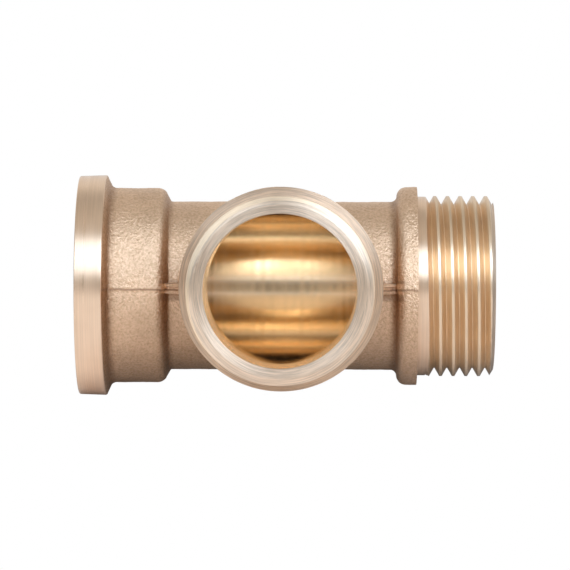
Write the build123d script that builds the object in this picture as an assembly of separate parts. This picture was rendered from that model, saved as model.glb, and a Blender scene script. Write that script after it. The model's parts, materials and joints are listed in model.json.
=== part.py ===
from build123d import *
import os

# A cast bronze pipe tee for G 1 thread: a female socket and a male spigot on the run,
# and a male spigot on the branch. The real tee is one casting, machined at its three
# ends. Here each region of it is its own closed solid, and the regions meet face to face.
#
# The origin is where the run axis and the branch axis cross. +X runs along the run to
# its male end, -X to the socket, -Y along the branch and +Z is up. All sizes are in mm.

# Pipe thread G 1, eleven threads to the inch. The male threads are drawn as plain
# cylinders at the major radius and the female one as a plain hole at the minor radius.
MAJOR_R = 33.249 / 2
MINOR_R = 30.291 / 2

# Body: two crossing tubes with one bore size
TUBE_R = 15.3
BORE_R = 13.4

# Lengths from the centre along each arm
SOCKET_ROOT = 20.1
SOCKET_END = 36.9
COLLAR_ROOT = 19.6
SEAT = 24.4
SPIGOT_END = 38.3

# Socket: a hub over the female thread, with a machined collar at its mouth
HUB_R = 17.7
HUB_STEP_R = 15.6           # where the shoulder's slope meets the root fillet
HUB_SLOPE_START = 20.5
HUB_SLOPE_END = 21.3
HUB_ROUND_END = 22.7
HUB_SLOPE_R = 17.1
THREAD_FLOOR = 22.4
SOCKET_MOUTH_R = 17.05
RING_INNER_R = 17.3
RING_R = 19.9
RING_BACK_R = 20.05
RING_TOE = 30.2
RING_BACK = 32.05
RING_SLOPE_FOOT = 31.15
RING_SLOPE_FOOT_R = 18.15

# Male ends: a cast collar, then a plain neck and the thread
COLLAR_R = 18.05
COLLAR_SHOULDER = 22.5
COLLAR_FLANK = 20.75
COLLAR_FLANK_R = 16.6
NECK_R = 16.29
NECK_END = 26.45
SPIGOT_ROOT = 23.2          # how deep the spigot's root stands in the collar
END_CHAMFER_LENGTH = 0.8
END_FLAT_R = 15.3
BORE_CHAMFER = 0.3

# Webs in the parting plane, filling the corners between branch and run
WEB_THICKNESS = 1.95
WEB_HOLLOW = 0.45           # how far the web's edge is hollowed from a straight line
SOCKET_WEB_FROM = (-22.2, -17.4)
SOCKET_WEB_TO = (-17.6, -21.7)
RUN_WEB_FROM = (21.7, -17.6)
RUN_WEB_TO = (17.6, -21.7)
WEB_CORE = 14.0             # a place inside both tubes, where every web starts

# Each arm is built along its own +Z and then turned onto the tee
ONTO_RUN = Rotation(0, 90, 0)
ONTO_SOCKET = Rotation(0, -90, 0)
ONTO_BRANCH = Rotation(90, 0, 0)


def revolved(*points):
    """A closed outline of (radius, height) points, turned about the arm's axis."""
    outline = Plane.XZ * make_face(Polyline(*points, close=True))
    return revolve(outline, Axis.Z)


def cylinder(radius, start, end):
    """A cylinder on the arm's axis, from one height to another."""
    standing = (Align.CENTER, Align.CENTER, Align.MIN)
    return Pos(0, 0, start) * Cylinder(radius, end - start, align=standing)


def spigot():
    """A male end: plain neck, G 1 thread at its major radius and chamfered end, along +Z."""
    return revolved(
        (BORE_R, SPIGOT_ROOT),
        (NECK_R, SPIGOT_ROOT),
        (NECK_R, NECK_END),
        (MAJOR_R, NECK_END + MAJOR_R - NECK_R),
        (MAJOR_R, SPIGOT_END - END_CHAMFER_LENGTH),
        (END_FLAT_R, SPIGOT_END),
        (BORE_R + BORE_CHAMFER, SPIGOT_END),
        (BORE_R, SPIGOT_END - BORE_CHAMFER),
    )


def collar():
    """The cast collar behind a spigot, rounded at the back and faced flat at the front."""
    edge = Polyline((BORE_R, COLLAR_ROOT), (TUBE_R, COLLAR_ROOT))
    root = TangentArc((TUBE_R, COLLAR_ROOT), (COLLAR_FLANK_R, COLLAR_FLANK), tangent=(0, 1))
    shoulder = TangentArc(
        (COLLAR_R, COLLAR_SHOULDER), (COLLAR_FLANK_R, COLLAR_FLANK), tangent=(0, -1)
    )
    front = Polyline(
        (COLLAR_R, COLLAR_SHOULDER),
        (COLLAR_R, SEAT),
        (NECK_R, SEAT),
        (NECK_R, SPIGOT_ROOT),
        (BORE_R, SPIGOT_ROOT),
        (BORE_R, COLLAR_ROOT),
    )
    outline = Plane.XZ * make_face(edge + root + shoulder + front)
    return revolve(outline, Axis.Z)


def hub_outline(inner_points):
    """The hub's outside from its root to its mouth, closed by the points of its inside."""
    fillet = TangentArc((TUBE_R, SOCKET_ROOT), (HUB_STEP_R, HUB_SLOPE_START), tangent=(0, 1))
    slope = Line((HUB_STEP_R, HUB_SLOPE_START), (HUB_SLOPE_R, HUB_SLOPE_END))
    shoulder = TangentArc((HUB_R, HUB_ROUND_END), (HUB_SLOPE_R, HUB_SLOPE_END), tangent=(0, -1))
    wall = Polyline(
        (HUB_R, HUB_ROUND_END),
        (HUB_R, RING_TOE),
        (RING_INNER_R, RING_TOE),
        (RING_INNER_R, SOCKET_END),
        *inner_points,
        (TUBE_R, SOCKET_ROOT),
    )
    return fillet + slope + shoulder + wall


def socket_hub():
    """The hub, with its female G 1 thread at the minor radius, along +Z."""
    mouth_depth = SOCKET_MOUTH_R - MINOR_R
    inside = (
        (SOCKET_MOUTH_R, SOCKET_END),
        (MINOR_R, SOCKET_END - mouth_depth),
        (MINOR_R, THREAD_FLOOR),
        (BORE_R, THREAD_FLOOR - (MINOR_R - BORE_R)),
        (BORE_R, SOCKET_ROOT),
    )
    return revolve(Plane.XZ * make_face(hub_outline(inside)), Axis.Z)


def socket_collar():
    """The machined ring round the socket's mouth, along +Z."""
    foot = (RING_SLOPE_FOOT_R, RING_SLOPE_FOOT)
    fillet = TangentArc((HUB_R, RING_TOE), foot, tangent=(0, 1))
    ring = Polyline(
        foot,
        (RING_BACK_R, RING_BACK),
        (RING_R, SOCKET_END),
        (RING_INNER_R, SOCKET_END),
        (RING_INNER_R, RING_TOE),
        (HUB_R, RING_TOE),
    )
    return revolve(Plane.XZ * make_face(fillet + ring), Axis.Z)


def branch_corner():
    """The wedge of space on the branch's side of the two planes where the tubes are mitred."""
    reach = SPIGOT_END
    wedge = make_face(Polyline((0, 0), (reach, -reach), (-reach, -reach), close=True))
    return extrude(wedge, amount=reach, both=True)


def tube(onto, start, end):
    """One of the body's two crossing tubes, turned onto its arm."""
    return onto * (cylinder(TUBE_R, start, end) - cylinder(BORE_R, start, end))


def web(start, finish, neighbours):
    """A flat web in the parting plane, cut back to the surfaces of its neighbours."""
    middle = (Vector(*start) + Vector(*finish)) / 2
    inward = Vector(-middle.X, -middle.Y).normalized()
    side = 1 if start[0] > 0 else -1
    edge = ThreePointArc(start, middle + inward * WEB_HOLLOW, finish)
    back = Polyline(
        finish,
        (side * WEB_CORE, finish[1]),
        (side * WEB_CORE, -WEB_CORE),
        (start[0], -WEB_CORE),
        start,
    )
    plate = extrude(make_face(edge + back), amount=WEB_THICKNESS / 2, both=True)
    for neighbour in neighbours:
        plate -= neighbour
    return plate


def build_parts():
    """Every region of the tee in its place, by node name."""
    corner = branch_corner()
    run_core = ONTO_RUN * cylinder(TUBE_R, -SOCKET_ROOT, COLLAR_ROOT)
    branch_core = ONTO_BRANCH * cylinder(TUBE_R, 0, SEAT)
    outer_hub = revolve(Plane.XZ * make_face(hub_outline([(0, SOCKET_END), (0, SOCKET_ROOT)])), Axis.Z)
    run_collar = ONTO_RUN * collar()
    branch_collar = ONTO_BRANCH * collar()
    return {
        "run_tube": tube(ONTO_RUN, -SOCKET_ROOT, COLLAR_ROOT) - corner,
        "branch_neck": tube(ONTO_BRANCH, 0, COLLAR_ROOT) & corner,
        "socket_hub": ONTO_SOCKET * socket_hub(),
        "socket_collar": ONTO_SOCKET * socket_collar(),
        "run_collar": run_collar,
        "run_spigot": ONTO_RUN * spigot(),
        "branch_collar": branch_collar,
        "branch_spigot": ONTO_BRANCH * spigot(),
        "socket_web": web(
            SOCKET_WEB_FROM, SOCKET_WEB_TO, [run_core, branch_core, ONTO_SOCKET * outer_hub, branch_collar]
        ),
        "run_web": web(RUN_WEB_FROM, RUN_WEB_TO, [run_core, branch_core, run_collar, branch_collar]),
    }


os.makedirs("parts", exist_ok=True)
for name, part in build_parts().items():
    export_step(part, f"parts/{name}.step")
    print(f"{name}: {part.volume:.1f} mm3, valid {part.is_valid}")
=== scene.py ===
"""The looks of a cast bronze pipe tee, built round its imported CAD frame.

Every length is in metres and in the frame's axes: the run lies along X, with its male end at
+X and its socket at -X, the branch points along -Y, and Z is up. Turned pieces are made along
their arm's own +Z, as (radius, height) outlines, and are then turned onto their arm.
"""

from __future__ import annotations

import json
import logging
import math
from dataclasses import dataclass
from enum import Enum
from typing import Callable

import bmesh
import bpy
from mathutils import Matrix, Vector, noise

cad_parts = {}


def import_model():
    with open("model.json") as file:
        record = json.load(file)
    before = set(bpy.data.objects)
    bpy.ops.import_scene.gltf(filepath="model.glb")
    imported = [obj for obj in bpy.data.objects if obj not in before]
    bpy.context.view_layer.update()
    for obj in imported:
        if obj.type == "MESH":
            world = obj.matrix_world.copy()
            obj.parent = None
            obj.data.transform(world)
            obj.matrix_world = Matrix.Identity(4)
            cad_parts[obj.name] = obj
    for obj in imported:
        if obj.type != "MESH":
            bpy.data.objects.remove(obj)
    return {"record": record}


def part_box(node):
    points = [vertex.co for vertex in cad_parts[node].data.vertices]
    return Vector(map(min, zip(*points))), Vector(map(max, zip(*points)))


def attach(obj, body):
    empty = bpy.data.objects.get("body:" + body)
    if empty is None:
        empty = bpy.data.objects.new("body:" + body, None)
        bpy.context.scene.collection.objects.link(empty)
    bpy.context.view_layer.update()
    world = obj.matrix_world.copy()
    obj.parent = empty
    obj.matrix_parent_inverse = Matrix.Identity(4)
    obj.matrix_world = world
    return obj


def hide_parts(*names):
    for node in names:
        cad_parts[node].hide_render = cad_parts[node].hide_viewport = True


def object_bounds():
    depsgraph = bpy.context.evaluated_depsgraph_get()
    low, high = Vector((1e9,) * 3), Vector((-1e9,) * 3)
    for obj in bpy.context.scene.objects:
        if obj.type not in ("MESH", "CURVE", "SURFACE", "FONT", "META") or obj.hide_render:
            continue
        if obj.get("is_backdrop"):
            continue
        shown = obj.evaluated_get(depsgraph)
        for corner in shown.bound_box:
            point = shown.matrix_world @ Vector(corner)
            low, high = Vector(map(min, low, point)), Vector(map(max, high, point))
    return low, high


Surface = bmesh.types.BMesh
Face = bmesh.types.BMFace
Socket = bpy.types.NodeSocket

MM = 0.001
INCH = 25.4 * MM
NEAR = 0.01 * MM            # places closer than this are one place
WELD = 0.004 * MM           # corners of two walls closer than this are made one
TINY = 1e-7
WHITE = (1.0, 1.0, 1.0, 1.0)
SHARP = math.radians(38)    # edges that turn more than this are drawn sharp
FULL_TURN = 2 * math.pi
BODY = "root"

# Sizes that more than one piece or finish needs
PARTING_LINE = -0.35 * MM
WEB_DROP = 0.15 * MM
NECK_R = 16.29 * MM
SLEEVE_R = 17.3 * MM
log = logging.getLogger("tee")


class Arm(Enum):
    """One of the tee's three arms, as the turn that lays the arm's own +Z onto it."""

    RUN = (90.0, "Y")
    SOCKET = (-90.0, "Y")
    BRANCH = (90.0, "X")

    @property
    def matrix(self) -> Matrix:
        """The turn as a matrix."""
        degrees, axis = self.value
        return Matrix.Rotation(math.radians(degrees), 4, axis)

    def start_of_tube(self, point: Vector) -> float:
        """Where a tube's wall starts along this arm, so that the three tubes meet in a mitre.

        Args:
            point: a point of the wall, in the arm's own axes.

        Returns:
            The height along the arm at which the wall starts beside that point.
        """
        if self is Arm.BRANCH:
            return abs(point.x)
        return max(0.0, -point.y)


class Part(Enum):
    """What a face of a piece is made like, in the order of the piece's material slots."""

    CAST = 0
    TURNED = 1
    THREAD = 2
    BORE = 3
    FACE = 4


@dataclass(frozen=True)
class TeeSizes:
    """The tee's driving sizes, read from the frame."""

    bore_r: float
    tube_r: float
    socket_root: float
    collar_root: float
    spigot_root: float
    seat: float
    spigot_end: float
    socket_end: float
    major_r: float
    minor_r: float
    collar_r: float
    hub_r: float
    ring_r: float
    ring_toe: float
    thread_floor: float
    male_thread_start: float
    web_thickness: float

    @classmethod
    def from_frame(cls, record: dict) -> TeeSizes:
        """Read the sizes from the CAD nodes' boxes and from the record's mounts.

        Args:
            record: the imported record.

        Returns:
            The sizes, in metres.
        """
        low, high = 0, 1
        mounts = {mount["name"]: mount for mount in record["mounts"]}
        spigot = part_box("run_spigot")
        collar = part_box("run_collar")
        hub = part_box("socket_hub")
        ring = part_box("socket_collar")
        socket_thread = mounts["socket_thread"]["dims"]
        run_thread = mounts["run_thread"]["dims"]
        bore = mounts["run_bore"]["dims"]
        minor_r = socket_thread["r_mm"] * MM
        bore_r = bore["r_mm"] * MM
        bore_chamfer, end_chamfer = 0.3 * MM, 0.8 * MM
        bore_floor = bore["length_mm"] * MM - spigot[high].x + bore_chamfer
        return cls(
            bore_r=bore_r,
            tube_r=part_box("run_tube")[high].z,
            socket_root=-hub[high].x,
            collar_root=collar[low].x,
            spigot_root=spigot[low].x,
            seat=collar[high].x,
            spigot_end=spigot[high].x,
            socket_end=-hub[low].x,
            major_r=spigot[high].z,
            minor_r=minor_r,
            collar_r=collar[high].z,
            hub_r=hub[high].z,
            ring_r=ring[high].z,
            ring_toe=-ring[high].x,
            thread_floor=bore_floor + minor_r - bore_r,
            male_thread_start=spigot[high].x - end_chamfer - run_thread["length_mm"] * MM,
            web_thickness=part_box("run_web")[high].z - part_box("run_web")[low].z,
        )


def all_of(surface: Surface) -> list:
    """Every corner, edge and face of a surface."""
    return surface.verts[:] + surface.edges[:] + surface.faces[:]


def corners_in(items: list) -> list[bmesh.types.BMVert]:
    """The corners among a list of corners, edges and faces."""
    return [item for item in items if isinstance(item, bmesh.types.BMVert)]


class Outline:
    """A half section of a turned piece, as (radius, height) points along lines and arcs."""

    def __init__(self, radius: float, height: float, step: float) -> None:
        """Start the outline.

        Args:
            radius: the first point's radius.
            height: the first point's height along the arm.
            step: the longest gap to leave between two points.
        """
        self.points: list[Vector] = [Vector((radius, height))]
        self.step = step

    def line(self, radius: float, height: float) -> Outline:
        """Go straight to a point, with points on the way.

        Args:
            radius: the end point's radius.
            height: the end point's height.

        Returns:
            This outline.
        """
        start, end = self.points[-1], Vector((radius, height))
        count = max(1, math.ceil((end - start).length / self.step))
        self.points += [start.lerp(end, (i + 1) / count) for i in range(count)]
        return self

    def arc(self, radius: float, height: float, leaving: tuple[float, float]) -> Outline:
        """Go to a point on an arc that leaves in a given direction.

        Args:
            radius: the end point's radius.
            height: the end point's height.
            leaving: the arc's direction where it starts, as (radius, height).

        Returns:
            This outline.
        """
        start, end = self.points[-1].copy(), Vector((radius, height))
        chord = end - start
        ahead = Vector(leaving).normalized()
        side = Vector((-ahead.y, ahead.x))
        swing = 2 * math.atan2(side.dot(chord), ahead.dot(chord))
        reach = chord.length / (2 * math.sin(swing / 2))
        count = max(3, math.ceil(abs(reach * swing) / self.step))
        for i in range(1, count + 1):
            turned = swing * i / count
            across = reach * (1 - math.cos(turned))
            self.points.append(start + ahead * reach * math.sin(turned) + side * across)
        return self

    def arc_into(self, radius: float, height: float, arriving: tuple[float, float]) -> Outline:
        """Go to a point on an arc that arrives there in a given direction.

        Args:
            radius: the end point's radius.
            height: the end point's height.
            arriving: the arc's direction where it ends, as (radius, height).

        Returns:
            This outline.
        """
        chord = (Vector((radius, height)) - self.points[-1]).normalized()
        ahead = Vector(arriving).normalized()
        leaving = 2 * ahead.dot(chord) * chord - ahead
        return self.arc(radius, height, (leaving.x, leaving.y))

    def drawn(self, surface: Surface, closed: bool = False) -> list:
        """Draw the outline into a surface, on the arm's +X side.

        Args:
            surface: the surface to draw into.
            closed: whether the outline's last point joins its first.

        Returns:
            The corners and edges that were drawn.
        """
        corners = [surface.verts.new((p.x, 0.0, p.y)) for p in self.points]
        following = corners[1:] + corners[:1] if closed else corners[1:]
        return corners + [surface.edges.new(pair) for pair in zip(corners, following)]

    def spun(self, steps: int, closed: bool) -> Surface:
        """Turn the outline about the arm's axis.

        Args:
            steps: how many faces go round.
            closed: whether the outline's last point joins its first.

        Returns:
            The turned surface.
        """
        surface = bmesh.new()
        bmesh.ops.spin(
            surface,
            geom=self.drawn(surface, closed),
            cent=(0, 0, 0),
            axis=(0, 0, 1),
            angle=FULL_TURN,
            steps=steps,
            use_merge=True,
        )
        return surface


@dataclass(frozen=True)
class PipeThread:
    """A G 1 thread: 55 degree flanks with rounded crests and roots."""

    major_r: float
    minor_r: float
    pitch: float = INCH / 11
    rounding: float = 0.137329
    root_rounding: float = 0.137329
    flank_turn: float = math.radians(62.5)
    steps: int = 180
    fineness: float = 0.11 * MM
    weld: float = 0.002 * MM

    def one_pitch(self, crest_height: float) -> Outline:
        """The section of one turn, from root to root over its crest.

        Args:
            crest_height: the crest's height along the arm.

        Returns:
            The section's outline.
        """
        crest, root = self.rounding * self.pitch, self.root_rounding * self.pitch
        sine, sagitta = math.sin(self.flank_turn), 1 - math.cos(self.flank_turn)
        low, high = crest_height - self.pitch / 2, crest_height + self.pitch / 2
        section = Outline(self.minor_r, low, self.fineness)
        section.arc(self.minor_r + root * sagitta, low + root * sine, (0, 1))
        section.line(self.major_r - crest * sagitta, crest_height - crest * sine)
        section.arc_into(self.major_r, crest_height, (0, 1))
        section.arc(self.major_r - crest * sagitta, crest_height + crest * sine, (0, 1))
        section.line(self.minor_r + root * sagitta, high - root * sine)
        return section.arc_into(self.minor_r, high, (0, 1))

    def cut(
        self, start: float, end: float, crest: float, limit: Callable[[float, float], float]
    ) -> Surface:
        """The threaded wall between two heights.

        Args:
            start: the lower height.
            end: the upper height.
            crest: a height at which a crest stands on the arm's own +X side.
            limit: gives the radius that stands for a thread radius at a height, so that
                chamfers and run-outs cut into the thread.

        Returns:
            The wall, open at both ends, with a flat loop at each.
        """
        below = math.ceil((crest - start) / self.pitch) + 1
        turns = math.ceil((end - start) / self.pitch) + 3
        section = self.one_pitch(crest - below * self.pitch)
        wall = bmesh.new()
        bmesh.ops.spin(
            wall,
            geom=section.drawn(wall),
            cent=(0, 0, 0),
            axis=(0, 0, 1),
            dvec=(0, 0, self.pitch / self.steps),
            angle=FULL_TURN,
            steps=self.steps,
        )
        one_turn = all_of(wall)
        for number in range(1, turns):
            copied = bmesh.ops.duplicate(wall, geom=one_turn)["geom"]
            bmesh.ops.translate(wall, verts=corners_in(copied), vec=(0, 0, self.pitch * number))
        bmesh.ops.remove_doubles(wall, verts=wall.verts[:], dist=self.weld)
        bmesh.ops.reverse_faces(wall, faces=wall.faces[:])
        for height, outward in ((start, -1), (end, 1)):
            bmesh.ops.bisect_plane(
                wall,
                geom=all_of(wall),
                dist=TINY,
                plane_co=(0, 0, height),
                plane_no=(0, 0, outward),
                clear_outer=True,
            )
        for vert in wall.verts:
            radius = math.hypot(vert.co.x, vert.co.y)
            wanted = limit(radius, vert.co.z)
            vert.co.x *= wanted / radius
            vert.co.y *= wanted / radius
        return wall


def joined(*surfaces: Surface) -> Surface:
    """Put several surfaces into one, and free the others.

    Args:
        surfaces: the surfaces to join.

    Returns:
        One surface that holds them all.
    """
    whole = bmesh.new()
    for surface in surfaces:
        carrier = bpy.data.meshes.new("carrier")
        surface.to_mesh(carrier)
        surface.free()
        whole.from_mesh(carrier)
        bpy.data.meshes.remove(carrier)
    return whole


def bridge(surface: Surface, chosen: Callable[[Vector], bool]) -> None:
    """Join two open loops of a surface with a band of faces.

    Args:
        surface: the surface to change.
        chosen: says whether a point lies on one of the two loops.
    """
    loops = [
        edge
        for edge in surface.edges
        if edge.is_boundary and all(chosen(vert.co) for vert in edge.verts)
    ]
    bmesh.ops.bridge_loops(surface, edges=loops)


def ramp(value: float, low: float, high: float) -> float:
    """Rise smoothly from 0 at low to 1 at high."""
    share = min(1.0, max(0.0, (value - low) / (high - low)))
    return share * share * (3 - 2 * share)


@dataclass(frozen=True)
class SandSkin:
    """The relief that a sand mould leaves: uneven swells, coarse grain and a parting line."""

    swell: float = 0.07 * MM
    swell_size: float = 4.0 * MM
    grain: float = 0.035 * MM
    grain_size: float = 0.75 * MM
    line_wander: float = 0.16 * MM
    wander_size: float = 5 * MM
    step: float = 0.10 * MM
    flash: float = 0.10 * MM
    step_rise: tuple[float, float] = (-0.1 * MM, 0.15 * MM)
    step_fade: tuple[float, float] = (1 * MM, 6 * MM)
    flash_above: float = 0.3 * MM
    flash_width: float = 0.30 * MM
    joints_beyond: float = 19.0 * MM
    flat: float = 0.5e-6

    def is_joint(self, face: Face) -> bool:
        """Say whether a face is a flat end that meets the next region of the casting.

        Args:
            face: the face to look at.

        Returns:
            Whether it is such an end.
        """
        for axis in (0, 1):
            places = [vert.co[axis] for vert in face.verts]
            if max(places) - min(places) < self.flat and abs(places[0]) > self.joints_beyond:
                return True
        return False

    def parting_height(self, point: Vector) -> float:
        """The parting line's height beside a point, which wanders a little."""
        along = Vector((point.x, point.y, 0.0)) / self.wander_size
        return PARTING_LINE + self.line_wander * noise.noise(along)

    def relief(self, point: Vector) -> float:
        """How far the skin stands out from the true surface at a point.

        Args:
            point: a point of the surface, in the frame's axes.

        Returns:
            The height of the skin there.
        """
        swells = self.swell * noise.noise(point / self.swell_size)
        grains = self.grain * noise.noise(point / self.grain_size)
        above = point.z - self.parting_height(point)
        overhang = self.step * ramp(above, *self.step_rise) * (1 - ramp(above, *self.step_fade))
        ridge = self.flash * math.exp(-(((above - self.flash_above) / self.flash_width) ** 2))
        return swells + grains + overhang + ridge

    def apply(self, surface: Surface, is_cast: Callable[[Face], bool]) -> None:
        """Raise the skin on a piece's cast faces, and leave its turned faces true.

        Args:
            surface: the piece, in place.
            is_cast: says whether a face was left as cast.
        """
        surface.normal_update()
        moves = {}
        for vert in surface.verts:
            if not all(is_cast(face) for face in vert.link_faces):
                continue
            skin = [face for face in vert.link_faces if not self.is_joint(face)]
            if skin:
                outward = sum((face.normal * face.calc_area() for face in skin), Vector())
                moves[vert] = outward.normalized() * self.relief(vert.co)
        for vert, move in moves.items():
            vert.co += move


class Nodes:
    """A short way to write a node tree."""

    def __init__(self, tree: bpy.types.NodeTree) -> None:
        """Keep the tree that nodes are added to."""
        self.tree = tree

    @classmethod
    def fresh(cls, owner: bpy.types.Material | bpy.types.World) -> Nodes:
        """Start an empty tree on a material or a world.

        Args:
            owner: the material or world.

        Returns:
            The way into its tree.
        """
        owner.use_nodes = True
        owner.node_tree.nodes.clear()
        return cls(owner.node_tree)

    def add(self, kind: str, inputs: dict | None = None, **settings: object) -> bpy.types.Node:
        """Add a node.

        Args:
            kind: the node's type, without its ShaderNode prefix.
            inputs: for each input's name or number, a value or the socket to link to it.
            settings: the node's own settings.

        Returns:
            The new node.
        """
        node = self.tree.nodes.new("ShaderNode" + kind)
        for name, value in settings.items():
            setattr(node, name, value)
        for name, value in (inputs or {}).items():
            if isinstance(value, Socket):
                self.tree.links.new(value, node.inputs[name])
            else:
                node.inputs[name].default_value = value
        return node

    def math(self, operation: str, *values: object) -> Socket:
        """Add a Math node and return its result."""
        return self.add("Math", dict(enumerate(values)), operation=operation).outputs[0]

    def vector(self, operation: str, *values: object) -> Socket:
        """Add a Vector Math node and return its result."""
        return self.add("VectorMath", dict(enumerate(values)), operation=operation).outputs[0]

    def parts(self, vector: Socket) -> bpy.types.bpy_prop_collection:
        """Split a vector into the sockets of its X, Y and Z."""
        return self.add("SeparateXYZ", {0: vector}).outputs

    def fade(self, value: Socket, places: tuple, levels: tuple) -> Socket:
        """Go evenly between two levels while a value goes between two places."""
        return self.add("MapRange", dict(enumerate((value, *places, *levels)))).outputs[0]

    def mix(self, share: object, first: object, second: object, blend: str = "MIX") -> Socket:
        """Mix two colours and return the result."""
        node = self.add("MixRGB", {0: share, 1: first, 2: second}, blend_type=blend)
        return node.outputs[0]

    def times(self, first: object, second: object) -> Socket:
        """Multiply two colours and return the result."""
        return self.mix(1.0, first, second, "MULTIPLY")

    def ramp(self, value: Socket, stops: list[tuple], smooth: bool = True) -> Socket:
        """Add a Color Ramp.

        Args:
            value: the socket that drives it.
            stops: (position, grey or colour) pairs, in order.
            smooth: whether to ease between the stops.

        Returns:
            The ramp's colour.
        """
        node = self.add("ValToRGB", {0: value})
        node.color_ramp.interpolation = "EASE" if smooth else "LINEAR"
        elements = node.color_ramp.elements
        while len(elements) < len(stops):
            elements.new(0.5)
        for element, (position, shade) in zip(elements, stops):
            element.position = position
            colour = shade if isinstance(shade, tuple) else (shade, shade, shade)
            element.color = (*colour, 1.0)
        return node.outputs[0]

    def noise(self, vector: object, scale: float, detail: float = 2.0, **inputs: float) -> Socket:
        """Add a Noise texture and return its value."""
        values = {"Vector": vector, "Scale": scale, "Detail": detail, **inputs}
        return self.add("TexNoise", values).outputs["Fac"]


@dataclass(frozen=True)
class Finish:
    """A metal finish: its colour and how it shines."""

    name: str
    colour: tuple[float, float, float]
    roughness: float

    def material(self) -> bpy.types.Material:
        """Build the finish as a material.

        Returns:
            The material, with its own pattern.
        """
        material = bpy.data.materials.new(self.name)
        nodes = Nodes.fresh(material)
        place = nodes.add("TexCoord").outputs["Object"]
        colour, rough, normal = self.pattern(nodes, place)
        looks = {"Base Color": colour, "Roughness": rough, "Normal": normal, "Metallic": 1.0}
        shader = nodes.add("BsdfPrincipled", looks)
        self.finish(nodes, place, shader)
        nodes.add("OutputMaterial", {"Surface": shader.outputs[0]})
        return material

    def finish(self, nodes: Nodes, place: Socket, shader: bpy.types.Node) -> None:
        """Set what a finish needs beyond its colour, roughness and normal: here, nothing."""

    def pattern(self, nodes: Nodes, place: Socket) -> tuple:
        """The finish's pattern, as its colour, roughness and normal sockets."""
        raise NotImplementedError


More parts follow.
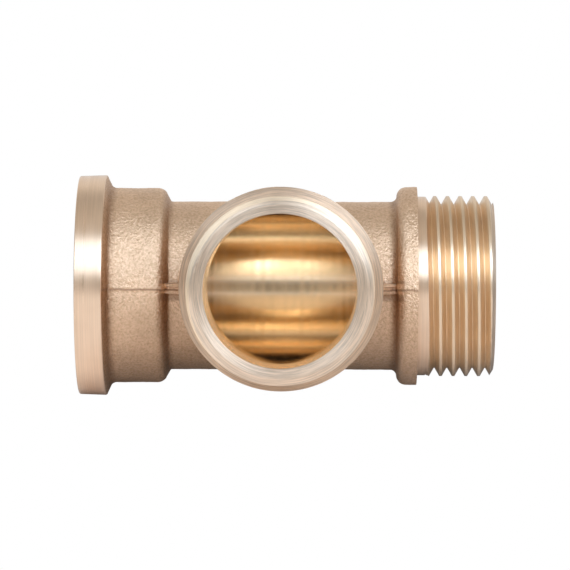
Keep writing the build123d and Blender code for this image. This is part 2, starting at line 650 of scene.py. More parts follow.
@dataclass(frozen=True)
class SandCast(Finish):
    """Bronze as it leaves a sand mould and a shot blaster: matt, tan and finely grained."""

    recess: tuple[float, float, float] = (0.62, 0.405, 0.24)
    # The dark parting line's colour, which also paints the shade beside the webs
    line: tuple[float, float, float] = (0.42, 0.27, 0.17)
    line_width: tuple[float, float] = (0.07 * MM, 0.28 * MM)
    line_wander: float = 0.7 * MM
    reach: float = 40 * MM
    run_corners: tuple[tuple[float, float], ...] = ((-32.2, -29.8), (-21.8, -19.5), (19.2, 21.2))
    branch_corners: tuple[tuple[float, float], ...] = ((-21.2, -19.2),)
    # Painted shade: the tint and its easing that darken the corners of the run and the branch
    corner_shade: tuple[float, float, float] = (0.60, 0.53, 0.48)
    corner_shade_ease: float = 0.45
    web_x: float = 19.3 * MM
    # Painted shade: where the bands of shade lie beside each web, and the web's own edge that is
    # left without it
    web_beside: tuple[float, float] = (2.2 * MM, 2.9 * MM)
    web_ahead: tuple[float, float] = (-14 * MM, -12 * MM)
    shade_above: tuple[float, ...] = (1.22 * MM, 0.12 * MM, 0.42 * MM, 0.75)
    shade_below: tuple[float, ...] = (-1.60 * MM, 0.40 * MM, 0.80 * MM, 0.80)
    web_edge: tuple[float, ...] = (0.0, 0.75 * MM, 0.95 * MM, 1.0)
    # Painted shade: the casting is darker towards the bottom, between these heights and down to
    # this level
    lower_shade: tuple[float, float] = (-1 * MM, -14 * MM)
    lower_shade_level: float = 0.78
    grain_scale: float = 2300.0
    pit_scale: float = 5200.0
    patch_scale: float = 160.0
    bump: float = 0.21 * MM

    def in_corners(
        self, nodes: Nodes, along: Socket, corners: tuple[tuple[float, float], ...]
    ) -> Socket:
        """Painted shade: a tint that darkens the corners, where shade falls.

        Args:
            nodes: the material's nodes.
            along: the place along an axis of the tee.
            corners: the start and end of each corner along that axis, in mm.

        Returns:
            The tint's colour.
        """
        share = nodes.fade(along, (-self.reach, self.reach), (0.0, 1.0))
        unshaded = (1.0, 1.0, 1.0)
        stops = []
        for start, end in corners:
            ease = self.corner_shade_ease * (end - start)
            places = (start, start + ease, end - ease, end)
            shares = [0.5 + place * MM / (2 * self.reach) for place in places]
            stops += zip(shares, (unshaded, self.corner_shade, self.corner_shade, unshaded))
        return nodes.ramp(share, stops, smooth=False)

    def along_webs(
        self, nodes: Nodes, parts: bpy.types.bpy_prop_collection
    ) -> tuple[Socket, Socket]:
        """Painted shade in the narrow corners along each web, and the web's own edge between them,
        which is kept free of that shade and of the corner shade.

        Args:
            nodes: the material's nodes.
            parts: the sockets of a point's X, Y and Z.

        Returns:
            The share of painted shade and the share of the web's unshaded edge.
        """
        from_middle = nodes.math("ADD", parts["Z"], WEB_DROP)
        from_web = nodes.math("SUBTRACT", nodes.math("ABSOLUTE", parts["X"]), self.web_x)
        beside = nodes.fade(nodes.math("ABSOLUTE", from_web), self.web_beside, (1.0, 0.0))
        ahead = nodes.fade(parts["Y"], self.web_ahead, (1.0, 0.0))
        at_web = nodes.math("MULTIPLY", beside, ahead)

        def band(middle: float, full: float, end: float, level: float) -> Socket:
            """A level that holds near a height and fades out at a distance from it."""
            away = nodes.math("ABSOLUTE", nodes.math("SUBTRACT", from_middle, middle))
            return nodes.math("MULTIPLY", nodes.fade(away, (full, end), (level, 0.0)), at_web)

        web_shade = nodes.math("MAXIMUM", band(*self.shade_above), band(*self.shade_below))
        return web_shade, band(*self.web_edge)

    def pattern(self, nodes: Nodes, place: Socket) -> tuple:
        """Grain as bump, with darker pits, patches and a dark parting line, and painted shade in
        the corners, beside the webs and towards the bottom.

        Args:
            nodes: the material's nodes.
            place: the socket that gives a point's place.

        Returns:
            The colour, roughness and normal sockets.
        """
        grains = nodes.noise(place, self.grain_scale, 3.0, Roughness=0.6)
        pits = nodes.noise(place, self.pit_scale, 1.0)
        patches = nodes.noise(place, self.patch_scale, 3.0)
        worn = nodes.ramp(grains, [(0.30, 0.0), (0.62, 1.0)], smooth=False)
        tone = nodes.mix(worn, (*self.recess, 1.0), (*self.colour, 1.0))
        toned = nodes.mix(0.35, tone, nodes.ramp(patches, [(0.3, 0.72), (0.7, 1.0)]), "MULTIPLY")
        parts = nodes.parts(place)
        # Painted shade: a tint darkens the corners of the run and the branch
        on_run = self.in_corners(nodes, parts["X"], self.run_corners)
        on_branch = self.in_corners(nodes, parts["Y"], self.branch_corners)
        # Painted shade: beside each web the parting line's colour is painted as shade; the web's
        # own edge is left without it and without the corner tint
        web_shade, unshaded = self.along_webs(nodes, parts)
        cornered = nodes.times(nodes.times(toned, on_run), on_branch)
        toned = nodes.mix(web_shade, nodes.mix(unshaded, cornered, toned), (*self.line, 1.0))
        # Painted shade: the casting's colour is darker towards the bottom
        toned = nodes.times(toned, nodes.fade(parts["Z"], self.lower_shade, (1.0, self.lower_shade_level)))
        drift = nodes.math("SUBTRACT", nodes.noise(place, 400.0), 0.5)
        wandered = nodes.math("ADD", parts["Z"], nodes.math("MULTIPLY", drift, self.line_wander))
        off_line = nodes.math("ABSOLUTE", nodes.math("SUBTRACT", wandered, PARTING_LINE))
        line = nodes.fade(off_line, self.line_width, (0.9, 0.0))
        coloured = nodes.mix(line, toned, (*self.line, 1.0))
        rough = nodes.fade(grains, (0.3, 0.7), (self.roughness + 0.06, self.roughness - 0.06))
        relief = nodes.math("ADD", grains, nodes.math("MULTIPLY", pits, 0.3))
        bump = nodes.add("Bump", {"Strength": 1.0, "Distance": self.bump, "Height": relief})
        return coloured, rough, bump.outputs[0]


@dataclass(frozen=True)
class Turned(Finish):
    """Bronze fresh from the lathe, with the tool's rings round an axis.

    The rings spread a reflection across themselves, so it is drawn out along the axis on a
    cylinder and along the radius on a face.
    """

    ring_size: float = 0.16 * MM
    depth: float = 0.004 * MM
    streak: float = 0.10
    spread: float = 0.75
    broken: float = 6.0
    axis: str = "X"

    def pattern(self, nodes: Nodes, place: Socket) -> tuple:
        """Rings that follow the radius and the height along the axis.

        Args:
            nodes: the material's nodes.
            place: the socket that gives a point's place.

        Returns:
            The colour, roughness and normal sockets.
        """
        parts = nodes.parts(place)
        across = [name for name in "XYZ" if name != self.axis]
        squares = [nodes.math("MULTIPLY", parts[name], parts[name]) for name in across]
        radius = nodes.math("SQRT", nodes.math("ADD", *squares))
        ringed = nodes.add("CombineXYZ", {0: parts[self.axis], 1: radius}).outputs[0]
        scaled = nodes.vector("MULTIPLY", ringed, (1 / self.ring_size,) * 3)
        sides = {"XYZ".index(name): parts[name] for name in across}
        outward = nodes.add("CombineXYZ", sides).outputs[0]
        drift = nodes.vector("MULTIPLY", nodes.vector("NORMALIZE", outward), (self.broken,) * 3)
        rings = nodes.vector("ADD", scaled, drift)
        fine = nodes.noise(rings, 1.0, 3.0, Roughness=0.7)
        coarse = nodes.noise(rings, 0.17, 2.0)
        smudges = nodes.noise(place, 90.0, 3.0)
        shade = nodes.ramp(fine, [(0.3, 1.0 - 2 * self.streak), (0.7, 1.0)])
        tint = nodes.ramp(smudges, [(0.3, (0.93, 0.91, 0.89)), (0.7, (1.0, 1.0, 1.0))])
        coloured = nodes.times(nodes.times((*self.colour, 1.0), shade), tint)
        rough = nodes.fade(coarse, (0.3, 0.7), (self.roughness * 0.85, self.roughness * 1.2))
        relief = nodes.math("ADD", fine, nodes.math("MULTIPLY", coarse, 1.6))
        bump = nodes.add("Bump", {"Strength": 1.0, "Distance": self.depth, "Height": relief})
        return coloured, rough, bump.outputs[0]

    def finish(self, nodes: Nodes, place: Socket, shader: bpy.types.Node) -> None:
        """Draw reflections out across the rings.

        Args:
            nodes: the material's nodes.
            place: the socket that gives a point's place.
            shader: the metal's shader.
        """
        parts = nodes.parts(place)
        round_x = (None, ("Z", -1.0), ("Y", 1.0))
        round_y = (("Z", 1.0), None, ("X", -1.0))
        turned = {"X": round_x, "Y": round_y}[self.axis]
        sides = {
            number: nodes.math("MULTIPLY", parts[side[0]], side[1])
            for number, side in enumerate(turned)
            if side is not None
        }
        round_axis = nodes.add("CombineXYZ", sides).outputs[0]
        unit = nodes.vector("NORMALIZE", round_axis)
        shader.inputs["Anisotropic"].default_value = self.spread
        shader.inputs["Anisotropic Rotation"].default_value = 0.25
        nodes.tree.links.new(unit, shader.inputs["Tangent"])


# Colour, roughness, ring size and depth, streak, spread and how broken the rings are
TURNED_LOOKS = {
    Part.TURNED: ((0.885, 0.65, 0.455), 0.32, 0.16 * MM, 0.003 * MM, 0.06, 0.75, 1.0),
    Part.THREAD: ((0.95, 0.73, 0.50), 0.36, 0.10 * MM, 0.004 * MM, 0.12, 0.6, 1.5),
    Part.BORE: ((1.0, 0.785, 0.53), 0.22, 0.18 * MM, 0.0, 0.03, 0.86, 1.0),
    Part.FACE: ((0.90, 0.70, 0.515), 0.36, 0.20 * MM, 0.014 * MM, 0.17, 0.88, 2.5),
}


class Finishes:
    """Every finish on the tee, made once and shared by the pieces."""

    def __init__(self) -> None:
        """Make the cast finish, and leave the turned ones until an arm asks for them."""
        self.cast = SandCast("sand_cast_bronze", (0.83, 0.573, 0.375), 0.43).material()
        self.made: dict[tuple[str, str], bpy.types.Material] = {}

    def turned(self, kind: Part, arm: Arm) -> bpy.types.Material:
        """A turned finish with its rings round an arm.

        Args:
            kind: which turned surface it is.
            arm: the arm that the rings go round.

        Returns:
            The material.
        """
        axis = "Y" if arm is Arm.BRANCH else "X"
        if (kind.name, axis) not in self.made:
            name = f"{kind.name.lower()}_bronze_{axis.lower()}"
            self.made[kind.name, axis] = Turned(name, *TURNED_LOOKS[kind], axis).material()
        return self.made[kind.name, axis]


@dataclass
class Piece:
    """A piece of the tee: how it is shaped, what it is called and what it stands for."""

    sizes: TeeSizes
    finishes: Finishes
    name: str
    nodes: tuple[str, ...]
    arm: Arm
    slot: str = "cast_bronze"

    def shape(self) -> Surface:
        """Build the piece's surface, in the frame's axes."""
        raise NotImplementedError

    def part_of(self, face: Face) -> Part:
        """Say what a face of the finished surface is made like."""
        raise NotImplementedError

    def on_arm(self, point: Vector) -> tuple[float, float]:
        """A point's radius from the arm's axis and its height along the arm."""
        local = self.arm.matrix.inverted() @ point
        return math.hypot(local.x, local.y), local.z

    def close(self, surface: Surface) -> Surface:
        """Turn a surface onto its arm, and point its faces outwards.

        Args:
            surface: the surface, along the arm's own +Z.

        Returns:
            The same surface, in the frame's axes.
        """
        bmesh.ops.transform(surface, matrix=self.arm.matrix, verts=surface.verts[:])
        bmesh.ops.recalc_face_normals(surface, faces=surface.faces[:])
        return surface

    def skinned(self, surface: Surface) -> Surface:
        """Lay the sand skin on the surface's cast faces."""
        SandSkin().apply(surface, lambda face: self.part_of(face) is Part.CAST)
        return surface

    def build(self) -> bpy.types.Object:
        """Make the piece's object, dress it and hang it on the frame.

        Returns:
            The finished object.
        """
        surface = self.shape()
        for face in surface.faces:
            face.smooth = True
            face.material_index = self.part_of(face).value
        mesh = bpy.data.meshes.new(self.name)
        surface.to_mesh(mesh)
        surface.free()
        mesh.set_sharp_from_angle(angle=SHARP)
        mesh.materials.append(self.finishes.cast)
        for kind in (Part.TURNED, Part.THREAD, Part.BORE, Part.FACE):
            mesh.materials.append(self.finishes.turned(kind, self.arm))
        piece = bpy.data.objects.new(self.name, mesh)
        bpy.context.scene.collection.objects.link(piece)
        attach(piece, BODY)
        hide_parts(*self.nodes)
        log.info("%s: %d faces", self.name, len(mesh.polygons))
        return piece


@dataclass
class CastTubes(Piece):
    """The run's tube and the branch's neck, which the mould joins with a rounded crotch."""

    steps: int = 320
    grid: float = 0.3 * MM
    bore_grid: float = 1.0 * MM
    crotch: float = 3.2 * MM

    def tube(self, arm: Arm, radius: float, grid: float) -> Surface:
        """One arm's wall, from the mitre out to its end.

        Args:
            arm: the arm to build along.
            radius: the wall's radius.
            grid: the gap between the wall's rings.

        Returns:
            The wall, in the frame's axes.
        """
        length = self.sizes.socket_root if arm is Arm.SOCKET else self.sizes.collar_root
        wall = Outline(radius, 0.0, grid).line(radius, length).spun(self.steps, closed=False)
        for vert in wall.verts:
            start = arm.start_of_tube(vert.co)
            vert.co.z = start + vert.co.z * (length - start) / length
        bmesh.ops.transform(wall, matrix=arm.matrix, verts=wall.verts[:])
        return wall

    def walls(self, radius: float, grid: float) -> Surface:
        """The three arms' walls at one radius, made one along their mitres.

        Args:
            radius: the walls' radius.
            grid: the gap between a wall's rings.

        Returns:
            The joined wall, in the frame's axes.
        """
        surface = joined(*(self.tube(arm, radius, grid) for arm in Arm))
        bmesh.ops.remove_doubles(surface, verts=surface.verts[:], dist=WELD)
        return surface

    def round_crotch(self, surface: Surface) -> None:
        """Fill the sharp corner where the branch leaves the run with a fillet.

        Args:
            surface: the outside wall, in the frame's axes.
        """
        radius = self.sizes.tube_r
        for vert in surface.verts:
            for _ in range(3):
                from_run = Vector((0.0, vert.co.y, vert.co.z))
                from_branch = Vector((vert.co.x, 0.0, vert.co.z))
                if vert.co.y > 0 or min(from_run.length, from_branch.length) < radius * 0.95:
                    break
                gap = abs(from_run.length - from_branch.length)
                reach = self.crotch * (1 - from_run.normalized().dot(from_branch.normalized()))
                if reach < TINY or gap >= reach:
                    break
                share = (1 - gap / reach) ** 2 * reach / 4
                depth = min(from_run.length, from_branch.length) - radius - share
                out = (from_run.normalized() + from_branch.normalized()).normalized()
                vert.co -= out * depth

    def shape(self) -> Surface:
        """Build both walls, close their ends and lay the sand skin on the outside.

        Returns:
            The surface, in the frame's axes.
        """
        sizes = self.sizes
        outside = self.walls(sizes.tube_r, self.grid)
        self.round_crotch(outside)
        inside = self.walls(sizes.bore_r, self.bore_grid)
        bmesh.ops.reverse_faces(inside, faces=inside.faces[:])
        whole = joined(outside, inside)
        ends = ((0, -sizes.socket_root), (0, sizes.collar_root), (1, -sizes.collar_root))
        for axis, place in ends:
            bridge(whole, lambda co, axis=axis, place=place: abs(co[axis] - place) < NEAR)
        bmesh.ops.recalc_face_normals(whole, faces=whole.faces[:])
        return self.skinned(whole)

    def part_of(self, face: Face) -> Part:
        """The walls' outside is cast and their bore is turned.

        Args:
            face: a face of the finished surface.

        Returns:
            What it is made like.
        """
        middle = face.calc_center_median()
        inner = self.sizes.bore_r + 0.2 * MM
        in_run = math.hypot(middle.y, middle.z) < inner
        in_branch = math.hypot(middle.x, middle.z) < inner and middle.y < 0
        return Part.BORE if in_run or in_branch else Part.CAST


@dataclass
class SocketHub(Piece):
    """The cast hub, with the female thread cut into it."""

    steps: int = 360
    grid: float = 0.3 * MM
    slope_foot: tuple[float, float] = (15.6 * MM, 20.5 * MM)
    slope_top: tuple[float, float] = (17.1 * MM, 21.3 * MM)
    round_end: float = 22.7 * MM
    mouth_r: float = 17.05 * MM
    sleeve_r: float = SLEEVE_R
    washout: float = 1.8 * MM
    lip: float = 0.08 * MM

    def thread_radius(self, radius: float, height: float) -> float:
        """Cut the mouth's chamfer and the run-out at the floor into the thread.

        Args:
            radius: the thread's radius.
            height: the height along the arm.

        Returns:
            The radius that stands for it.
        """
        sizes = self.sizes
        chamfer = self.mouth_r - (sizes.socket_end - height)
        share = ramp(height, sizes.thread_floor, sizes.thread_floor + self.washout)
        deepest = sizes.minor_r + (sizes.major_r - sizes.minor_r) * share
        return max(min(radius, deepest), chamfer)

    def shape(self) -> Surface:
        """Build the hub's outside, its ends and its threaded wall.

        Returns:
            The surface, in the frame's axes.
        """
        sizes = self.sizes
        floor_r = sizes.bore_r
        floor_height = sizes.thread_floor - (sizes.minor_r - floor_r)
        shell = Outline(sizes.minor_r - self.lip, sizes.thread_floor - self.lip, self.grid)
        shell.line(floor_r, floor_height).line(floor_r, sizes.socket_root)
        shell.line(sizes.tube_r, sizes.socket_root)
        shell.arc(*self.slope_foot, leaving=(0, 1)).line(*self.slope_top)
        shell.arc_into(sizes.hub_r, self.round_end, arriving=(0, 1))
        shell.line(sizes.hub_r, sizes.ring_toe)
        shell.line(self.sleeve_r, sizes.ring_toe).line(self.sleeve_r, sizes.socket_end)
        shell.line(self.mouth_r + self.lip, sizes.socket_end)
        thread = PipeThread(sizes.major_r, sizes.minor_r)
        mouth = sizes.socket_end
        wall = thread.cut(sizes.thread_floor, mouth, mouth, self.thread_radius)
        whole = joined(shell.spun(self.steps, closed=False), wall)
        bridge(whole, lambda co: co.z > sizes.socket_end - NEAR)
        bridge(whole, lambda co: co.z < sizes.thread_floor + NEAR)
        return self.skinned(self.close(whole))

    def part_of(self, face: Face) -> Part:
        """The outside is cast, the bore's cone is turned and the rest is thread.

        Args:
            face: a face of the finished surface.

        Returns:
            What it is made like.
        """
        radius, height = self.on_arm(face.calc_center_median())
        if radius > self.sizes.major_r and height > self.sizes.socket_end - 0.02 * MM:
            return Part.FACE
        if height > self.sizes.thread_floor - 0.1 * MM and radius < self.sleeve_r - 0.1 * MM:
            return Part.THREAD
        if radius < self.sizes.bore_r + 1.9 * MM and height > self.sizes.socket_root + NEAR:
            return Part.BORE if radius < self.sizes.minor_r else Part.CAST
        return Part.CAST


@dataclass
class SocketRing(Piece):
    """The turned reinforcing ring round the socket's mouth."""

    steps: int = 360
    grid: float = 0.5 * MM
    inner_r: float = SLEEVE_R
    mouth_r: float = 19.9 * MM
    foot: tuple[float, float] = (18.15 * MM, 31.15 * MM)
    back: float = 32.05 * MM
    edge: float = 0.12 * MM

    def shape(self) -> Surface:
        """Build the ring, with its edges just broken.

        Returns:
            The surface, in the frame's axes.
        """
        sizes, edge = self.sizes, self.edge
        ring = Outline(self.inner_r, sizes.ring_toe, self.grid).line(sizes.hub_r, sizes.ring_toe)
        ring.arc(*self.foot, leaving=(0, 1))
        ring.line(sizes.ring_r - 1.6 * edge, self.back - edge)
        ring.arc_into(sizes.ring_r, self.back + edge, arriving=(0, 1))
        ring.line(self.mouth_r, sizes.socket_end - edge)
        ring.line(self.mouth_r - edge, sizes.socket_end).line(self.inner_r, sizes.socket_end)
        ring.line(self.inner_r, sizes.ring_toe + self.grid)
        return self.skinned(self.close(ring.spun(self.steps, closed=True)))

    def part_of(self, face: Face) -> Part:
        """The ring is turned down to its fillet, which is left as cast.

        Args:
            face: a face of the finished surface.

        Returns:
            What it is made like.
        """
        radius, height = self.on_arm(face.calc_center_median())
        if height > self.sizes.socket_end - NEAR:
            return Part.FACE
        on_fillet = height < self.back - self.edge and radius > self.inner_r + 0.1 * MM
        return Part.CAST if on_fillet else Part.TURNED


@dataclass
class MaleCollar(Piece):
    """The cast collar behind a male end, with its front faced flat as a seat."""

    steps: int = 360
    grid: float = 0.3 * MM
    flank: tuple[float, float] = (16.6 * MM, 20.75 * MM)
    shoulder: float = 22.5 * MM
    neck_r: float = NECK_R

    def shape(self) -> Surface:
        """Build the collar and lay the sand skin on its outside.

        Returns:
            The surface, in the frame's axes.
        """
        sizes = self.sizes
        ring = Outline(sizes.bore_r, sizes.collar_root, self.grid)
        ring.line(sizes.tube_r, sizes.collar_root)
        ring.arc(*self.flank, leaving=(0, 1))
        ring.arc_into(sizes.collar_r, self.shoulder, arriving=(0, 1))
        ring.line(sizes.collar_r, sizes.seat)
        ring.line(self.neck_r, sizes.seat).line(self.neck_r, sizes.spigot_root)
        ring.line(sizes.bore_r, sizes.spigot_root).line(sizes.bore_r, sizes.collar_root + self.grid)
        return self.skinned(self.close(ring.spun(self.steps, closed=True)))

    def part_of(self, face: Face) -> Part:
        """The outside is cast, the seat is turned and the bore is a bore.

        Args:
            face: a face of the finished surface.

        Returns:
            What it is made like.
        """
        radius, height = self.on_arm(face.calc_center_median())
        if radius < self.sizes.bore_r + NEAR:
            return Part.BORE
        if height > self.sizes.spigot_root - NEAR and (
            radius < self.neck_r + NEAR or height > self.sizes.seat - NEAR
        ):
            return Part.FACE
        return Part.CAST


@dataclass
class MaleEnd(Piece):
    """A male end: a plain turned neck, a G 1 thread and a chamfered, faced end."""

    slot: str = "turned_bronze"
    steps: int = 360
    grid: float = 0.5 * MM
    neck_r: float = NECK_R
    end_flat_r: float = 15.3 * MM
    end_chamfer: float = 0.8 * MM
    bore_chamfer: float = 0.15 * MM
    washout: float = 1.1 * MM
    run_out: float = 0.6 * MM
    undersize: float = 0.11 * MM
    root_depth: float = 1.71 * MM
    root_rounding: float = 0.04
    crest_r: float = 16.42 * MM
    crest: float = 28.845 * MM
    lip: float = 0.08 * MM

    def thread_radius(self, radius: float, height: float) -> float:
        """Cut the end's chamfer and the run-out at the neck into the thread.

        Args:
            radius: the thread's radius.
            height: the height along the arm.

        Returns:
            The radius that stands for it.
        """
        sizes = self.sizes
        thread_start = sizes.male_thread_start
        from_end = (sizes.spigot_end - height) / self.end_chamfer
        chamfer = self.end_flat_r + (sizes.major_r - self.end_flat_r) * from_end
        rise = self.neck_r + max(0.0, height - thread_start + sizes.major_r - self.neck_r)
        first = thread_start - sizes.major_r + self.neck_r - self.run_out
        share = ramp(height, first, first + self.washout)
        root_r = sizes.major_r - self.root_depth
        deepest = self.neck_r + (root_r - self.neck_r) * share
        return min(max(radius, deepest), self.crest_r, rise, chamfer)

    def shape(self) -> Surface:
        """Build the neck, bore and end, and join the threaded wall to them.

        Returns:
            The surface, in the frame's axes.
        """
        sizes = self.sizes
        thread_start = sizes.male_thread_start - (sizes.major_r - self.neck_r) - self.run_out
        root_r = sizes.major_r - self.root_depth
        thread = PipeThread(
            sizes.major_r - self.undersize, root_r, root_rounding=self.root_rounding
        )
        wall = thread.cut(thread_start, sizes.spigot_end, self.crest, self.thread_radius)
        core = Outline(self.neck_r, thread_start - self.lip, self.grid)
        core.line(self.neck_r, sizes.spigot_root).line(sizes.bore_r, sizes.spigot_root)
        core.line(sizes.bore_r, sizes.spigot_end - self.bore_chamfer)
        core.line(sizes.bore_r + self.bore_chamfer, sizes.spigot_end)
        core.line(root_r - self.lip, sizes.spigot_end)
        whole = joined(core.spun(self.steps, closed=False), wall)
        bridge(whole, lambda co: co.z > sizes.spigot_end - NEAR)
        bridge(whole, lambda co: thread_start - 2 * self.lip < co.z < thread_start + NEAR)
        return self.close(whole)

    def part_of(self, face: Face) -> Part:
        """The neck and end are turned, and the thread and bore have their own finishes.

        Args:
            face: a face of the finished surface.

        Returns:
            What it is made like.
        """
        radius, height = self.on_arm(face.calc_center_median())
        if radius < self.sizes.bore_r + NEAR:
            return Part.BORE
        if height > self.sizes.spigot_end - self.end_chamfer:
            return Part.FACE
        plain = height < self.sizes.male_thread_start - (self.sizes.major_r - self.neck_r)
        return Part.TURNED if plain else Part.THREAD


@dataclass
class CornerWeb(Piece):
    """A cast web in the corner between the branch and the run, with a grooved edge."""

    grid: float = 0.3 * MM
    drop: float = WEB_DROP
    ridge: float = 0.62 * MM
    groove: float = 0.32 * MM
    groove_slope: float = 0.16 * MM
    rounding: float = 0.18 * MM
    hollow: float = 0.45 * MM
    sunk: float = 0.6 * MM
    root_share: float = 1.05

    def shape(self) -> Surface:
        """Build the web as a plate whose ends sink into the body and the collars.

        Returns:
            The surface, in the frame's axes.
        """
        sizes = self.sizes
        low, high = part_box(self.nodes[0])
        side = 1 if low.x > 0 else -1
        outer_x, inner_x = (high.x, low.x) if side > 0 else (low.x, high.x)
        foot = Vector((outer_x, high.y, 0.0)) + Vector((side, 0.3, 0.0)) * self.sunk
        tip = Vector((inner_x, low.y, 0.0)) + Vector((side * 0.3, -1.0, 0.0)) * self.sunk
        inward = Vector((-side, 1.0, 0.0)).normalized()
        root = Vector((side, -1.0, 0.0)) * sizes.bore_r * self.root_share
        count = math.ceil((tip - foot).length / self.grid)
        shares = [i / count for i in range(count + 1)]
        rim = [foot.lerp(tip, t) + inward * self.hollow * 4 * t * (1 - t) for t in shares]
        base = Vector((0.0, 0.0, -sizes.web_thickness / 2 - self.drop))
        plate = bmesh.new()
        outline = plate.faces.new([plate.verts.new(point + base) for point in (*rim, root)])
        raised = bmesh.ops.extrude_face_region(plate, geom=[outline])["geom"]
        bmesh.ops.translate(plate, verts=corners_in(raised), vec=(0, 0, sizes.web_thickness))
        bmesh.ops.recalc_face_normals(plate, faces=plate.faces[:])
        middle, half = -self.drop, sizes.web_thickness / 2
        shallow = half - self.ridge
        deep = shallow - self.groove_slope
        for height in (-shallow, -deep, deep, shallow):
            bmesh.ops.bisect_plane(
                plate,
                geom=all_of(plate),
                dist=TINY,
                plane_co=(0, 0, middle + height),
                plane_no=(0, 0, 1),
            )
        floor = [
            vert
            for vert in plate.verts
            if abs(vert.co.z - middle) < shallow - 0.5 * self.groove_slope
            and (vert.co - root).dot(inward) < -self.groove
        ]
        bmesh.ops.translate(plate, verts=floor, vec=inward * self.groove)
        lips = [
            edge
            for edge in plate.edges
            if all(abs(abs(vert.co.z - middle) - half) < TINY for vert in edge.verts)
            and all((vert.co - root).dot(inward) < -self.groove for vert in edge.verts)
        ]
        bmesh.ops.bevel(
            plate,
            geom=lips,
            offset=self.rounding,
            affect="EDGES",
            segments=2,
            profile=0.5,
            material=-1,
        )
        bmesh.ops.recalc_face_normals(plate, faces=plate.faces[:])
        return plate

    def part_of(self, face: Face) -> Part:
        """The whole web is cast."""
        return Part.CAST


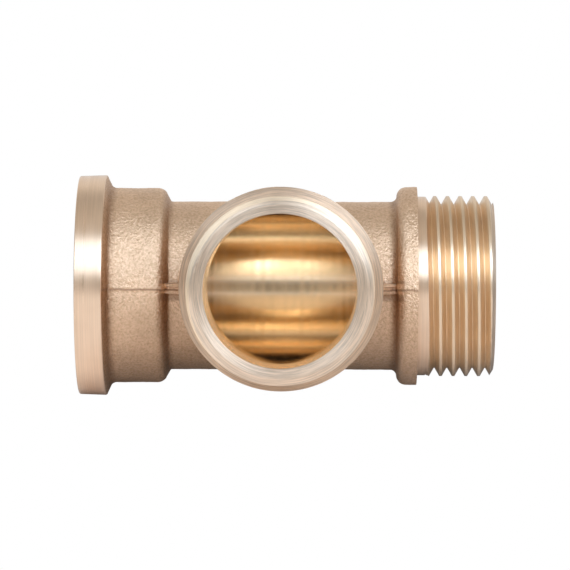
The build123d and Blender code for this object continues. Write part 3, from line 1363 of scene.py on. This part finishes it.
@dataclass(frozen=True)
class Studio:
    """The pale floor, with painted shade that only reflections and bounced light see, the soft
    light and the camera.
    """

    distance: float = 0.710
    azimuth: float = math.radians(0.65)
    elevation: float = math.radians(1.5)
    aim_x: float = 0.44 * MM
    aim_z: float = 0.10 * MM
    roll: float = math.radians(0.15)
    lens: float = 245.7
    sensor: float = 36.0
    floor_half: float = 3.0
    floor_tint: tuple[float, ...] = (0.98, 0.93, 0.90, 1.0)
    floor_glow: float = 0.18
    # Painted shade on the floor: the dark wedge towards the camera, the shadow under and behind the
    # tee and the shade to its right
    gap_lean: tuple[float, float] = (0.16, 0.30)
    gap_start: tuple[float, float] = (0.14, 0.21)
    gap_dark: float = 0.75
    behind: tuple[float, float] = (-9 * MM, 13 * MM)
    behind_level: float = 0.22
    right: tuple[float, float] = (6 * MM, 20 * MM)
    right_level: float = 0.93
    cool: tuple[float, ...] = (1.02, 1.20, 1.42)
    box_light: tuple[float, ...] = (3.5, 4.3, 5.6, 1.0)
    strip_tint: tuple[float, ...] = (0.1, 0.1, 0.1, 1.0)
    opening: tuple[float, ...] = (0.22, 0.21, 0.20, 1.0)

    def build(self, floor_height: float) -> None:
        """Set the stage.

        Args:
            floor_height: the height of what the tee stands on.
        """
        self.camera()
        self.floor(floor_height)
        self.light()
        view = bpy.context.scene.view_settings
        view.view_transform = "Standard"
        view.look = "None"

    def camera(self) -> None:
        """Stand the camera off along the branch, a little to the right and above."""
        data = bpy.data.cameras.new("camera")
        data.lens, data.sensor_width = self.lens, self.sensor
        data.clip_start, data.clip_end = 0.01, 20.0
        camera = bpy.data.objects.new("camera", data)
        out = Vector((
            math.sin(self.azimuth) * math.cos(self.elevation),
            -math.cos(self.azimuth) * math.cos(self.elevation),
            math.sin(self.elevation),
        ))
        target = Vector((self.aim_x, 0.0, self.aim_z))
        camera.location = target + out * self.distance
        level = out.to_track_quat("Z", "Y").to_matrix()
        camera.rotation_euler = (level @ Matrix.Rotation(self.roll, 3, "Z")).to_euler()
        bpy.context.scene.collection.objects.link(camera)
        bpy.context.scene.camera = camera

    def floor(self, height: float) -> None:
        """Lay a pale floor that is bright enough to hide its own horizon, and paint shade on it for
        reflections and bounced light: a dark wedge towards the camera, a painted shadow under and
        behind the tee and a little shade to its right.

        Args:
            height: the floor's height.
        """
        surface = bmesh.new()
        bmesh.ops.create_grid(surface, x_segments=1, y_segments=1, size=self.floor_half)
        bmesh.ops.translate(surface, verts=surface.verts[:], vec=(0, 0, height))
        mesh = bpy.data.meshes.new("floor")
        surface.to_mesh(mesh)
        surface.free()
        material = bpy.data.materials.new("pale_floor")
        nodes = Nodes.fresh(material)
        parts = nodes.parts(nodes.add("TexCoord").outputs["Object"])
        ahead = nodes.math("MULTIPLY", parts["Y"], -1.0)
        beside = nodes.math("ABSOLUTE", parts["X"])
        lean = nodes.math("DIVIDE", beside, nodes.math("MAXIMUM", ahead, MM))
        # Painted shade on the floor: a dark wedge towards the camera, a painted shadow under and
        # behind the tee and slight shade to its right
        in_gap = nodes.fade(lean, self.gap_lean, (1.0, 0.0))
        far = nodes.fade(ahead, self.gap_start, (0.0, self.gap_dark))
        ahead_kept = nodes.math("SUBTRACT", 1.0, nodes.math("MULTIPLY", in_gap, far))
        behind = nodes.fade(ahead, self.behind, (self.behind_level, 1.0))
        right = nodes.fade(parts["X"], self.right, (1.0, self.right_level))
        kept = nodes.math("MULTIPLY", nodes.math("MULTIPLY", ahead_kept, behind), right)
        shade = nodes.mix(kept, (0.0, 0.0, 0.0, 1.0), self.floor_tint)
        matt = nodes.add("BsdfDiffuse", {"Color": shade}).outputs[0]
        glow = nodes.add("Emission", {"Color": shade, "Strength": self.floor_glow}).outputs[0]
        lit = nodes.add("AddShader", {0: matt, 1: glow}).outputs[0]
        white = nodes.add("Emission", {"Color": WHITE, "Strength": 1.0}).outputs[0]
        seen = nodes.add("LightPath").outputs["Is Camera Ray"]
        shown = nodes.add("MixShader", {0: seen, 1: lit, 2: white}).outputs[0]
        nodes.add("OutputMaterial", {"Surface": shown})
        mesh.materials.append(material)
        floor = bpy.data.objects.new("floor", mesh)
        bpy.context.scene.collection.objects.link(floor)
        floor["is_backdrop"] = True

    def light(self) -> None:
        """Light the tee from a tent: pale walls, a large soft box at the upper right, a weaker
        one at the upper left, a dim roof and a dark opening where the camera looks in."""
        world = bpy.data.worlds.new("tent")
        bpy.context.scene.world = world
        nodes = Nodes.fresh(world)
        parts = nodes.parts(nodes.add("TexCoord").outputs["Generated"])
        turn = nodes.math("ARCTAN2", parts["Z"], nodes.math("MULTIPLY", parts["Y"], -1.0))
        upward = nodes.math("ADD", nodes.math("DIVIDE", turn, FULL_TURN), 0.5)
        sideways = nodes.math("ADD", nodes.math("MULTIPLY", parts["X"], 0.5), 0.5)

        def over(*stops: tuple) -> Socket:
            """A brightness or colour by degrees from straight ahead of the tee up and over it."""
            places = [(0.5 + degrees / 360, level) for degrees, level in stops]
            return nodes.ramp(upward, places, smooth=False)

        def across(*stops: tuple[float, float]) -> Socket:
            """A brightness by how far a direction leans left or right, from -1 to 1."""
            places = [(0.5 + lean / 2, level) for lean, level in stops]
            return nodes.ramp(sideways, places, smooth=False)

        walls = over(
            (-178, 0.60), (-1, 0.80), (11, 0.85), (18, self.cool), (47, self.cool), (60, 0.80),
            (72, 0.68), (88, 0.60), (104, 0.50), (116, 0.58), (128, 0.82), (178, 0.80),
        )
        ends = across((-1, 0.5), (-0.6, 0.95), (-0.4, 1.0), (0.4, 1.0), (0.6, 0.95), (1, 0.5))
        strip_width = across((-0.16, 0), (-0.05, 1), (0.05, 1), (0.16, 0))
        strip = nodes.times(over((8, 0), (14, 0.6), (58, 0.6), (72, 0)), strip_width)
        walls = nodes.mix(strip, walls, self.strip_tint)
        box = over((10, 0.0), (19, 1.0), (46, 1.0), (54, 0.0))
        strength = across(
            (-1, 0.0), (-0.6, 0.15), (-0.3, 0.50), (-0.1, 0.10), (0, 0.03), (0.12, 0.28),
            (0.28, 0.95), (0.6, 0.95), (0.8, 0.2), (1, 0.05),
        )
        hole_width = across((-0.26, 0), (-0.14, 1), (0.14, 1), (0.26, 0))
        hole = nodes.times(over((0, 1.0), (9, 1.0), (15, 0.0)), hole_width)
        boxes = nodes.times(nodes.times(box, strength), self.box_light)
        tent = nodes.mix(1.0, nodes.times(walls, ends), boxes, "ADD")
        opened = nodes.mix(hole, tent, self.opening)
        seen = nodes.add("LightPath").outputs["Is Camera Ray"]
        colour = nodes.mix(seen, opened, WHITE)
        background = nodes.add("Background", {"Color": colour, "Strength": 1.0})
        nodes.add("OutputWorld", {"Surface": background.outputs[0]})


def main() -> None:
    """Load the frame, build every piece round it and set the stage."""
    logging.basicConfig(level=logging.INFO, format="%(name)s %(message)s")
    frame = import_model()
    cad_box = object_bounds()
    sizes = TeeSizes.from_frame(frame["record"])
    finishes = Finishes()
    pieces = [
        CastTubes(sizes, finishes, "cast_tubes", ("run_tube", "branch_neck"), Arm.RUN),
        SocketHub(sizes, finishes, "cast_socket_hub", ("socket_hub",), Arm.SOCKET),
        SocketRing(
            sizes, finishes, "turned_socket_ring", ("socket_collar",), Arm.SOCKET, "turned_bronze"
        ),
        MaleCollar(sizes, finishes, "cast_run_collar", ("run_collar",), Arm.RUN),
        MaleCollar(sizes, finishes, "cast_branch_collar", ("branch_collar",), Arm.BRANCH),
        MaleEnd(sizes, finishes, "threaded_run_end", ("run_spigot",), Arm.RUN),
        MaleEnd(sizes, finishes, "threaded_branch_end", ("branch_spigot",), Arm.BRANCH),
        CornerWeb(sizes, finishes, "cast_socket_web", ("socket_web",), Arm.RUN),
        CornerWeb(sizes, finishes, "cast_run_web", ("run_web",), Arm.RUN),
    ]
    for piece in pieces:
        piece.build()
    Studio().build(cad_box[0][2])


if __name__ == "__main__":
    main()
